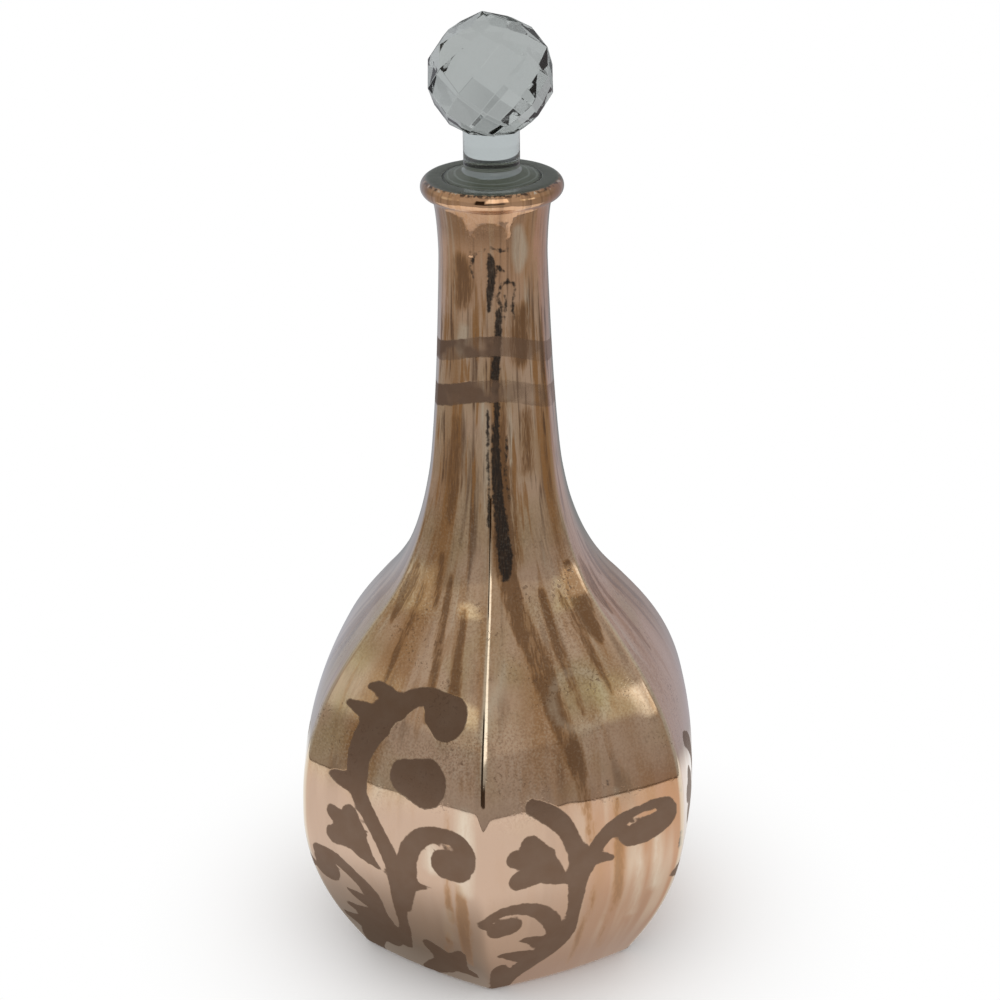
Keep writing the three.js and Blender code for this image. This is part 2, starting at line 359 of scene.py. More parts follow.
def curve(start, startSlope, end, endSlope, handles, steps):
    # a cubic curve up the outline, without its first point
    rise = end[1] - start[1]
    leave, arrive = rise * handles[0], rise * handles[1]
    near = (start[0] + startSlope * leave, start[1] + leave)
    far = (end[0] - endSlope * arrive, end[1] - arrive)
    t = np.linspace(0, 1, steps + 1)[1:, None]
    start, near, far, end = (np.array(point) for point in (start, near, far, end))
    path = (1 - t) ** 3 * start + 3 * (1 - t) ** 2 * t * near + 3 * (1 - t) * t ** 2 * far + t ** 3 * end
    return [tuple(point) for point in path]


def arc(centre, radius, fromAngle, toAngle, steps):
    angles = np.radians(np.linspace(fromAngle, toAngle, steps + 1))
    return [(centre[0] + radius * math.cos(a), centre[1] + radius * math.sin(a)) for a in angles]


def roundness(height):
    heights, shares = zip(*bottle["bulge"])
    return float(np.interp(height, heights, shares))


def beadArc(steps):
    b = bottle
    centre = (b["lipRadius"] - b["bead"], b["lipHeight"] - b["bead"])
    return arc(centre, b["bead"], b["beadFoot"], 90, steps)


def bottleOutline():
    b = bottle
    heelReach = b["foot"][0] - b["footSlope"] * b["foot"][1]
    outline = [(heelReach + out, up) for out, up in b["heel"]] + [b["foot"]]
    knots = [(*b["foot"], b["footSlope"]), *b["knots"].values(), (*beadArc(1)[0], b["lipSlope"])]
    for start, end, handles, steps in zip(knots, knots[1:], b["handles"], b["steps"]):
        outline += curve(start[:2], start[2], end[:2], end[2], handles, steps)
    return outline


def lipRings():
    b = bottle
    edgeCentre = (b["mouth"] + b["mouthEdge"], b["lipHeight"] - b["mouthEdge"])
    edge = arc(edgeCentre, b["mouthEdge"], 90, 180, b["mouthEdgeSteps"])
    inwards, down = b["seatLead"]
    seatTop = (b["mouth"] - inwards, b["lipHeight"] - down)
    return beadArc(b["beadSteps"])[1:] + edge + [seatTop, b["seatEnd"]]


def setMode(mode):
    bpy.ops.object.mode_set(mode=mode)


def selectMesh():
    bpy.ops.mesh.select_all(action="SELECT")


def selectNoEdge():
    bpy.ops.mesh.select_mode(type="EDGE")
    bpy.ops.mesh.select_all(action="DESELECT")
    setMode("OBJECT")


def extrudeUp(rise):
    bpy.ops.mesh.extrude_region_move(TRANSFORM_OT_translate={"value": (0, 0, rise * mm)})


def applyPlace():
    bpy.ops.object.transform_apply(location=True, rotation=True, scale=True)


def faceOut():
    selectMesh()
    bpy.ops.mesh.normals_make_consistent(inside=False)
    setMode("OBJECT")


def activate(thing):
    thing.select_set(True)
    bpy.context.view_layer.objects.active = thing


def deselectAll():
    if bpy.context.object and bpy.context.object.mode == "EDIT":
        setMode("OBJECT")
    bpy.ops.object.select_all(action="DESELECT")


class Ring:
    # the open edge loop that a shell of rings grows from, in millimetres
    def __init__(self, radius, height, cuts):
        b = bottle
        deselectAll()
        bpy.ops.mesh.primitive_circle_add(vertices=b["panels"], radius=radius * mm, fill_type="NGON",
                                          location=(0, 0, height * mm))
        applyPlace()
        self.shell = bpy.context.object
        setMode("EDIT")
        bpy.ops.mesh.bevel(affect="VERTICES", offset=b["ridgeRounding"] * mm, segments=b["ridgeSteps"],
                           profile=b["ridgeProfile"])
        self.selectLongEdges()
        bpy.ops.mesh.subdivide(number_cuts=cuts)
        selectMesh()
        bpy.ops.mesh.delete(type="ONLY_FACE")
        selectMesh()
        setMode("OBJECT")
        radii = [math.hypot(v.co.x, v.co.y) / mm for v in self.shell.data.vertices]
        self.flatShare = float(np.mean(radii)) / radius      # mean radius of the flat-sided ring
        self.radius, self.height, self.weight = radius, height, 0.0
        setMode("EDIT")

    def selectLongEdges(self):
        selectNoEdge()
        mesh = self.shell.data
        for edge in mesh.edges:
            a, b = (mesh.vertices[i].co for i in edge.vertices)
            edge.select = (a - b).length > bottle["longEdge"] * bottle["ridgeRounding"] * mm
        setMode("EDIT")

    def shape(self, cornerRadius, bulge):
        # scales the selected ring and rounds it towards a circle
        weight = bulge / (bulge + self.flatShare * (1 - bulge))
        wanted = cornerRadius * (bulge + self.flatShare * (1 - bulge)) / self.flatShare
        centre = (0, 0, self.height * mm)
        factor = wanted / self.radius
        bpy.ops.transform.resize(value=(factor, factor, 1), center_override=centre)
        share = 1 - (1 - weight) / (1 - self.weight) if self.weight < 1 else 0
        if share > 0.0001:
            bpy.ops.transform.tosphere(value=share, center_override=centre)
        self.radius, self.weight = wanted, max(weight, self.weight)

    def grow(self, cornerRadius, height, bulge):
        extrudeUp(height - self.height)
        self.height = height
        self.shape(cornerRadius, bulge)

    def remember(self):
        return self.radius, self.height, self.weight

    def goBack(self, state):
        # selects the open loop at a remembered height again
        self.radius, self.height, self.weight = state
        selectLoop(self.shell, lambda co: abs(co.z - self.height * mm) < 0.01 * mm)


def selectLoop(shell, test):
    # open edges whose two ends pass the test
    selectNoEdge()
    mesh = shell.data
    used = {}
    for face in mesh.polygons:
        for key in face.edge_keys:
            used[key] = used.get(key, 0) + 1
    for edge in mesh.edges:
        if used.get(edge.key, 0) < 2 and all(test(mesh.vertices[i].co) for i in edge.vertices):
            edge.select = True
    setMode("EDIT")


def closeMiddle():
    extrudeUp(bottle["kickTip"])
    bpy.ops.mesh.merge(type="CENTER")
    deselectAll()


def growOutside():
    outline = bottleOutline()
    ring = Ring(outline[0][0], 0, bottle["panelCuts"])
    ring.shape(outline[0][0], roundness(0))
    start = ring.remember()
    for radius, height in outline[1:]:
        ring.grow(radius, height, roundness(height))
    for radius, height in lipRings():
        ring.grow(radius, height, 1)
    ring.goBack(start)
    for share in bottle["kickShares"]:
        height = bottle["kickHeight"] * (1 - share ** 2)
        ring.grow(bottle["kickRadius"] * share, height, 1)
    closeMiddle()
    activate(ring.shell)
    bpy.ops.object.modifier_add(type="SUBSURF")
    smooth = ring.shell.modifiers[-1]
    smooth.levels = smooth.render_levels = bottle["smoothing"]
    bpy.ops.object.modifier_apply(modifier=smooth.name)
    return ring.shell


def innerRing(outline, height, inset):
    radii, heights = zip(*outline)
    bulge = roundness(height)
    flat = math.cos(math.pi / bottle["panels"])
    innerBulge = min(1, bulge + bottle["innerBulge"])
    outer = float(np.interp(height, heights, radii)) * (flat + (1 - flat) * bulge)
    corner = (outer - bottle["wall"] - inset) / (flat + (1 - flat) * innerBulge)
    return corner, height, innerBulge


def growInside():
    b = bottle
    outline = [point for point in bottleOutline() if point[1] > 0]
    floorHeight, heel = b["floor"], b["innerHeel"]
    rings = []
    for turn in np.radians(np.linspace(90, 0, b["innerHeelSteps"] + 1)):
        height = floorHeight + heel * (1 - math.sin(turn))
        rings.append(innerRing(outline, height, heel * (1 - math.cos(turn))))
    top = b["seatEnd"][1] - b["seatRunout"]
    for height in np.linspace(floorHeight + heel, top, b["innerWallSteps"] + 1)[1:]:
        rings.append(innerRing(outline, float(height), 0))
    corner, height, bulge = rings[0]
    smoothed = 2 ** b["smoothing"]                # the inside has as many points as the smoothed outside
    cuts = (b["panelCuts"] + 1 + b["ridgeSteps"]) * smoothed - b["ridgeSteps"] - 1
    ring = Ring(corner, height, cuts)
    selectMesh()
    ring.shape(corner, bulge)
    start = ring.remember()
    for corner, height, bulge in rings[1:]:
        ring.grow(corner, height, bulge)
    ring.goBack(start)
    first, _, bulge = rings[0]
    for share in b["kickShares"][1:]:
        ring.grow(first * share, floorHeight + b["kickHeight"] * (1 - share ** 2), bulge)
    closeMiddle()
    return ring.shell


def joinShells(outside, inside):
    # one closed skin: the foot of the mouth's seat is bridged to the inner wall
    slots = ("copperLustre", "innerGlass", "groundSeat")
    for name in slots:
        outside.data.materials.append(bpy.data.materials[name])
    inside.data.materials.append(bpy.data.materials["innerGlass"])
    top = (bottle["seatEnd"][1] - bottle["seatRunout"] - 1) * mm
    deselectAll()
    inside.select_set(True)
    activate(outside)
    bpy.ops.object.join()
    setMode("EDIT")
    selectLoop(outside, lambda co: co.z > top)
    bpy.ops.mesh.bridge_edge_loops()
    faceOut()
    seatBottom = (bottle["seatEnd"][1] - 0.1) * mm
    seatReach = (bottle["mouth"] + bottle["seatSlack"]) * mm
    for face in outside.data.polygons:
        centre = face.center
        if math.hypot(centre.x, centre.y) < seatReach and centre.z > top - mm:
            face.material_index = slots.index("groundSeat" if centre.z > seatBottom else "innerGlass")
    bpy.ops.object.shade_smooth()
    outside.name = "lustreBottle"
    return outside


# The etched vine. A stroke is a list of points on a panel: millimetres to the right of the
# panel's middle, height, and half the stroke's width. A curl and a bud have a few strokes.
vineWithCurl = {
    "stem": [(-2, 14, 3.2), (1.4, 22, 2.2), (2.0, 28, 2.2), (2.6, 34, 2.8), (3.0, 40, 3.0), (2.8, 46, 3.2),
             (1.6, 51, 3.2), (-1.2, 56, 3.1), (-4.3, 60.5, 3.0), (-8, 65.5, 3.1), (-11, 70, 3.4),
             (-12, 76, 4.2), (-12, 82, 4.4), (-10, 88, 5), (-7, 93.5, 5), (-3, 98, 3.4)],
    "curl": [(4.5, 34, 2.5), (6.3, 42, 3.6), (7.4, 49, 3.8), (7.9, 54, 3.5), (10.3, 59.5, 3.3),
             (14.5, 63.3, 3.0), (20, 65, 2.5), (25.5, 64.4, 2.7), (28.8, 61, 2.8), (28.4, 57, 3.0)],
    "curlEye": [(21.5, 55.6, 5.2), (25, 55.8, 5.3)],
    "curlSpur": [(8.5, 43.4, 2.2), (12.5, 44.7, 1.1), (15.7, 45.2, 0.3)],
    "budLeft": [(-21, 59.5, 2.8), (-15, 57, 4)],
    "budTop": [(-14, 61.7, 3.1), (-13.5, 56.5, 6)],
    "budLow": [(-20.8, 51.6, 3.4), (-15, 54, 5)],
    "budTail": [(-14, 56, 5.6), (-11, 52.2, 4.5), (-7, 48.4, 2.3), (-2.7, 45.7, 0.5)],
    "leafBar": [(-28.5, 42.4, 2.7), (-22, 42.3, 2.6), (-17, 40, 2.4), (-12, 36.5, 2.7), (-8.5, 32, 3.6),
                (-8, 26, 3.8), (-7.5, 20, 5), (-9, 14, 6)],
    "leafLobe": [(-27.5, 39, 3.8), (-26.2, 36.5, 5.4)],
    "fingerTop": [(-18.6, 30.2, 0.9), (-15, 29.2, 2.1), (-10, 28, 3.2)],
    "fingerMiddle": [(-22, 22.8, 0.9), (-18, 21.8, 2.1), (-12, 21, 4)],
    "fingerLow": [(-25.5, 15.5, 1.2), (-20, 14.5, 3.2), (-13, 15.5, 5.5)],
    "root": [(-20, 1, 3.8), (-18.5, 6, 4.4), (-14.5, 12, 5), (-8, 15.5, 5), (-2, 18, 3)],
    "bowLeft": [(9.2, 17.6, 2.7), (12.5, 13.5, 4.2), (12, 9, 4), (6.5, 4.5, 3.2), (2.5, 1, 2.5)],
    "bowRight": [(21, 18.8, 1.4), (18.5, 15, 3), (15.5, 11, 4.2), (19, 8.8, 2.4), (21.5, 7.5, 1.6)],
    "lobe": [(-21.8, 72.3, 1.4), (-18, 72, 2.6), (-12, 72.5, 3.4)],
    "tipHigh": [(-14.2, 100.2, 0.8), (-10, 100.4, 1.9), (-5, 99, 2.4), (-1, 97, 3)],
    "tipLow": [(-20.5, 94, 0.9), (-16, 93.8, 1.9), (-11, 92.8, 3.2), (-7, 91.5, 4.5)],
    "hook": [(-2, 97, 3.2), (2, 100.5, 2.7), (7, 102.3, 2.6), (11, 100.6, 4)],
    "hookEye": [(12.5, 99.4, 5.2), (15.3, 98.4, 6.3)],
    "berry": [(5.5, 79.6, 5.4), (12.4, 79.4, 7.6)],
}
vineWithLeaf = {
    "root": [(-22, 0, 3.4), (-20, 7, 3.7), (-14.8, 13.4, 4), (-8.8, 18.6, 3.8), (-5, 24, 2.9),
             (-4.1, 29, 2.3), (-4, 35, 2.4), (-3.8, 42, 3), (-3.2, 50, 3.6), (-4, 56, 3.2),
             (-5.8, 61, 2.9), (-8, 66, 3), (-12, 70.5, 3.2), (-17.5, 74.5, 2.5)],
    "branch": [(-1.5, 50, 3.4), (1.5, 55, 2.8), (5, 59, 2.8), (10, 61.8, 3), (16, 62.8, 3.2)],
    "branchSpur": [(7.6, 51, 1.1), (3.5, 52.4, 2)],
    "leaf": [(15.5, 58.4, 5.6), (20.5, 59.4, 6.8), (25.8, 60.4, 5.8)],
    "budTop": [(-19, 62.5, 3.3), (-16.5, 57, 5.4)],
    "budLeft": [(-23.7, 58.8, 3.2), (-17, 57, 4.6)],
    "budLow": [(-23, 51, 3.4), (-16, 53, 4.4)],
    "budTail": [(-17, 56, 5.6), (-13.5, 52.2, 4.4), (-10, 48.9, 2.4), (-7.5, 46.8, 0.8)],
    "curl": [(-8.5, 22, 3), (-9.3, 27, 2.9), (-11.6, 32.5, 3), (-15.5, 37, 2.8), (-20.5, 39.7, 2.3),
             (-26, 40.5, 1.9), (-31, 39, 1.8), (-33, 36, 1.8)],
    "curlEye": [(-28.5, 33.4, 3.8), (-24.6, 33.6, 3.6)],
    "spur": [(-21, 26.2, 0.5), (-17.5, 25.2, 1.6), (-13, 22.5, 3)],
    "leafLow": [(-27, 20.4, 0.5), (-23, 19.3, 1.8), (-17.5, 17, 3.2)],
    "leafRoot": [(-24.5, 12, 3), (-22.5, 5, 3.4)],
}
leafRib = [(13.6, 60.6, 0.6), (18, 62.2, 0.9), (23.6, 62.6, 0.6)]  # left bright inside the leaf

# Drips in the lustre run down the panels, and pale strips are left beside them
dripsLeft = [
    [(21.9, 73, 0.3), (22.6, 50, 0.6), (19.5, 29, 0.7), (14.2, 12, 0.5)],
    [(26.6, 49, 0.8), (25.8, 36, 2.2), (24.4, 25, 1.8), (22.6, 15, 0.8)],
    [(1.5, 132, 1.0), (3.4, 119, 1.5), (6.5, 108, 1.1), (9, 96, 0.5)],
    [(9, 124, 0.8), (12.4, 112, 1.5), (15.6, 104, 1.8), (17, 95, 0.7)],
    [(-7, 128, 1.0), (-8.6, 112, 1.5), (-9, 102, 0.7)],
    [(-3, 138, 0.9), (-1.4, 124, 1.0)],
    [(-11.5, 133, 1.2), (-12.1, 128, 2.5), (-13.6, 122, 2.2), (-14.5, 117, 0.8)],
]
dripsRight = [
    [(-9.8, 148, 2.0), (-9.1, 133, 3.1), (-8.1, 122, 3.5), (-6.3, 113, 3.7), (-5.4, 102, 3.5),
     (-2.5, 87, 3.0), (-0.9, 79, 2.2), (-0.3, 70, 1.6), (1, 59, 1.0)],
    [(6.1, 127, 0.8), (9.3, 119, 1.3), (11.9, 109, 1.0), (14.7, 100, 0.5)],
    [(9.8, 70, 1.0), (10.3, 53, 1.5), (11, 37, 1.1), (10.2, 28, 0.5)],
    [(3, 44, 0.4), (0.8, 28, 0.6), (-0.2, 16, 0.5), (-0.2, 5, 0.4)],
    [(8.3, 27, 0.4), (9.3, 11, 0.6)],
    [(0.5, 128, 1.3), (1.5, 112, 1.6), (3.4, 97, 0.7)],
    [(11, 134, 1.2), (12.5, 125, 3.2), (14.2, 118, 3), (15.5, 113, 1)],
]
paleLeft = [
    [(16.1, 60, 1.5), (16.6, 53, 1.8)], [(27.3, 73, 2.2), (28, 62, 2.8), (28.1, 48, 2.0)],
    [(21, 38, 0.3), (19, 26, 0.5)], [(26, 118, 0.8), (27.5, 96, 1.2)],
]
paleRight = [
    [(16, 58, 1.0), (18.5, 40, 1.4), (18, 24, 1.0)], [(24, 56, 1.2), (25, 34, 1.6)],
    [(9.6, 73.2, 0.3), (9.8, 72.4, 0.3)],
]
# Chips at the right ridge and a bubble's outline
flaws = [
    [(33.4, 67, 0.3), (33.5, 65.5, 0.3)], [(33.3, 51.5, 0.5), (33.2, 48, 0.8), (33, 45.5, 0.4)],
    [(7.2, 83, 0.2), (6.4, 79, 0.25), (7.6, 75.5, 0.25)], [(8.2, 81.5, 0.2), (8.9, 77, 0.25)],
]
# A faint oval ring in the film
faintRing = {"middle": (3.2, 100), "reach": (8.9, 7.4), "half": 0.7, "steps": 16, "strength": 0.4}

# Panels in order from the right of the front ridge: the vine, the drips and the side that is mirrored
panelDesigns = [
    (vineWithLeaf, dripsRight, 1), (vineWithLeaf, dripsLeft, 1), (vineWithCurl, dripsRight, 1),
    (vineWithLeaf, dripsLeft, 1), (vineWithLeaf, dripsRight, -1), (vineWithCurl, dripsLeft, 1),
]
neckBands = [  # height at the front, drop towards the sides, half the width
    (203.2, 4.6, 3.1),
    (189.6, 5.0, 3.4),
]

# Marks on the front of the neck, with millimetres round it from its front edge, height and half width. These
# dark streaks are a painted reflection of dark things in front of the bottle
neckDarkReflection = [
    [(0.4, 231, 0.7), (1.1, 227, 1.4), (0.6, 222.5, 1.2), (0.1, 218, 0.9), (-0.2, 214, 0.4)],
    [(1.5, 227.5, 0.7), (3.5, 226.7, 0.4), (4.6, 226, 0.1)],
    [(-4.7, 224, 0.1), (-5.4, 227, 0.3), (-3.7, 231, 0.1), (-1, 232.6, 0.1)],
    [(0.6, 233.4, 0.3), (3.5, 232.2, 0.5), (5.6, 232.4, 0.1)],
    [(2, 210.4, 0.4), (3.4, 215.5, 0.3), (2.6, 219, 0.2), (4.1, 222.3, 0.4), (6.6, 222.6, 0.4),
     (7.6, 220.2, 0.3), (6.8, 215, 0.4), (7.7, 211.3, 0.2)],
    [(4, 210.6, 0.3), (4.8, 215.3, 0.2), (4.3, 219.4, 0.1)],
    [(2.9, 213.8, 0.9), (2.6, 207.4, 1.1), (1.9, 199.3, 0.9), (1.6, 191, 0.8), (2, 185.2, 0.9)],
    [(1.9, 185, 0.8), (1.4, 172, 1.3), (2, 160, 1.5), (3.2, 149, 1.9), (4.4, 139, 2.2), (4.8, 134, 1.2)],
    [(-0.7, 184, 0.3), (-0.6, 165, 0.4), (-0.5, 149, 0.3)],
    [(4.8, 176, 0.1), (4.2, 166, 0.4), (5.4, 156, 0.3)],
]
# Pale marks on the neck; the first, on its front edge, is a painted highlight
neckPaleAndHighlight = [
    [(-0.9, 185, 0.7), (-1, 172, 0.9), (-0.9, 162, 0.6)], [(9, 238, 1.5), (9.5, 231, 2.5), (9, 226, 1)],
    [(-8, 208, 1.5), (-9, 202, 2)],
]
# Brown haze on the neck; its third stroke, beside the dark streaks, is a painted brown reflection
neckHazeAndReflection = [
    [(-8.5, 228, 2.5), (-8, 220, 3.5), (-9, 216, 2)], [(10, 213, 2.5), (9.5, 205, 3.5), (9, 199, 2.5)],
    [(3.6, 186, 1.0), (3.4, 170, 2.0), (4.4, 152, 3.0), (5.2, 138, 3.4)],
    [(11, 182, 1.5), (11.5, 165, 2)], [(-11, 180, 1), (-12, 160, 2), (-14, 148, 1)],
]
marks = {
    "panelShare": 1.25, "panelTop": 150,       # how far a panel's pattern may reach
    "neckFoot": 130, "neckReach": 1.2,         # millimetres and radians
    "outside": (0.85, 1.5),                    # share of the outline's radius and millimetres off it
    "bandWave": 0.5,
    "far": 20.0,                               # distances are kept up to here
    "dripBlur": 1.6, "paleBlur": 3, "hazeBlur": 4,
}


def smoothPath(points, steps=6):
    # more points on a smooth line through the given ones
    if len(points) < 3:
        return points
    p = np.array([points[0], *points, points[-1]], float)
    path = []
    for a, b, c, d in zip(p, p[1:], p[2:], p[3:]):
        for t in np.linspace(0, 1, steps, endpoint=False):
            path.append(0.5 * (2 * b + (c - a) * t + (2 * a - 5 * b + 4 * c - d) * t ** 2
                               + (3 * b - a - 3 * c + d) * t ** 3))
    return path + [p[-1]]


def strokeDistance(across, height, points):
    # millimetres from the edge of a stroke, less than zero inside it
    nearest = np.full(across.shape, marks["far"])
    path = smoothPath(points)
    for (x0, z0, w0), (x1, z1, w1) in zip(path, path[1:]):
        dx, dz = x1 - x0, z1 - z0
        along = ((across - x0) * dx + (height - z0) * dz) / max(dx * dx + dz * dz, 1e-6)
        along = np.clip(along, 0, 1)
        away = np.hypot(across - x0 - along * dx, height - z0 - along * dz)
        nearest = np.minimum(nearest, away - w0 - along * (w1 - w0))
    return nearest


def nearestStroke(across, height, strokes):
    return np.minimum.reduce([strokeDistance(across, height, points) for points in strokes])


def strength(distance, blur, most=1.0):
    # a half at the stroke's edge
    return np.clip(0.5 - distance / blur, 0, most)


def ringStrokes():
    (across, height), (wide, high) = faintRing["middle"], faintRing["reach"]
    turns = np.linspace(0, 2 * math.pi, faintRing["steps"] + 1)
    return [(across + wide * math.cos(a), height + high * math.sin(a), faintRing["half"]) for a in turns]


def markBottle(skin):
    # the distance to the etched pattern and the strength of the drips, kept on the mesh's points. On the neck
    # the drips and dark marks also carry painted reflections, and the pale marks a painted highlight
    mesh = skin.data
    places = np.zeros(len(mesh.vertices) * 3)
    mesh.vertices.foreach_get("co", places)
    x, y, height = places.reshape(-1, 3).T / mm
    angle = np.arctan2(x, -y)
    reach = np.hypot(x, y)
    outer = np.array([p for p in bottleOutline() if p[1] > 0]).T
    share, off = marks["outside"]
    onOutside = reach > np.interp(height, outer[1], outer[0]) * share - off
    etch, chipsAndDarkReflection = (np.full(len(x), marks["far"]) for _ in range(2))
    dripAndReflection, pale = (np.zeros(len(x)) for _ in range(2))

    def lower(values, near, wanted):
        values[near] = np.minimum(values[near], wanted)

    def lift(values, near, wanted):
        values[near] = np.maximum(values[near], wanted)

    halfPanel = math.pi / bottle["panels"]
    for index, (vine, drips, side) in enumerate(panelDesigns):
        turned = (angle - (2 * index + 1) * halfPanel + math.pi) % (2 * math.pi) - math.pi
        near = onOutside & (np.abs(turned) < marks["panelShare"] * halfPanel) & (height < marks["panelTop"])
        across, up = side * reach[near] * np.sin(turned[near]), height[near]
        distance = nearestStroke(across, up, vine.values())
        if vine is vineWithLeaf:
            distance = np.maximum(distance, -strokeDistance(across, up, leafRib))
        lower(etch, near, distance)
        lift(dripAndReflection, near, strength(nearestStroke(across, up, drips), marks["dripBlur"]))
        strips = paleRight if vine is vineWithLeaf else paleLeft
        lift(pale, near, strength(nearestStroke(across, up, strips), marks["paleBlur"]))
        if index == 0:
            lower(chipsAndDarkReflection, near, nearestStroke(across, up, flaws))
            ring = strokeDistance(across, up, ringStrokes())
            lift(pale, near, strength(ring, marks["dripBlur"], faintRing["strength"]))
    neck = onOutside & (height > marks["panelTop"])
    for front, drop, half in neckBands:
        middle = front - drop * np.sin(angle) ** 2 + marks["bandWave"] * np.sin(3 * angle + 1)
        lower(etch, neck, (np.abs(height - middle) - half)[neck])
    near = onOutside & (np.abs(angle) < marks["neckReach"]) & (height > marks["neckFoot"])
    across, up = reach[near] * angle[near], height[near]
    lower(chipsAndDarkReflection, near, nearestStroke(across, up, neckDarkReflection))
    lift(pale, near, strength(nearestStroke(across, up, neckPaleAndHighlight), marks["dripBlur"]))
    lift(dripAndReflection, near, strength(nearestStroke(across, up, neckHazeAndReflection), marks["hazeBlur"]))
    for name, values in (("etch", etch), ("dripAndReflection", dripAndReflection), ("pale", pale), ("chipsAndDarkReflection", chipsAndDarkReflection)):
        kept = mesh.attributes.new(name, "FLOAT", "POINT")
        kept.data.foreach_set("value", values.astype(np.float32))


# Copper lustre on the outside, seen through thin clear glass
lustre = {
    "rose": (203, 173, 150), "tan": (222, 190, 163), "olive": (186, 163, 114), "amber": (180, 130, 76),
    "brown": (108, 74, 46), "cream": (234, 221, 200), "blush": (196, 149, 113), "copper": (220, 172, 132),
    # the tone under the lip and the two tones at the foot are painted shade
    "shadeUnderLip": (150, 112, 82), "shadeAtFootLeft": (120, 97, 76), "shadeAtFootRight": (162, 117, 87),
    "etched": (134, 113, 98),
    # the bead's dark and light spot tones are painted dark reflections and painted glints
    "bareGlass": (60, 63, 52), "rimDarkReflection": (58, 40, 28), "chipsAndDarkReflection": (40, 28, 20), "rimGlint": (240, 230, 216),
    "roughness": 0.05,
    # heights between which the film changes
    "upper": (70, 92), "neck": (125, 165), "neckTop": (205, 232),
    "rim": (248.7, 249.3), "bare": (249.45, 249.7),
}


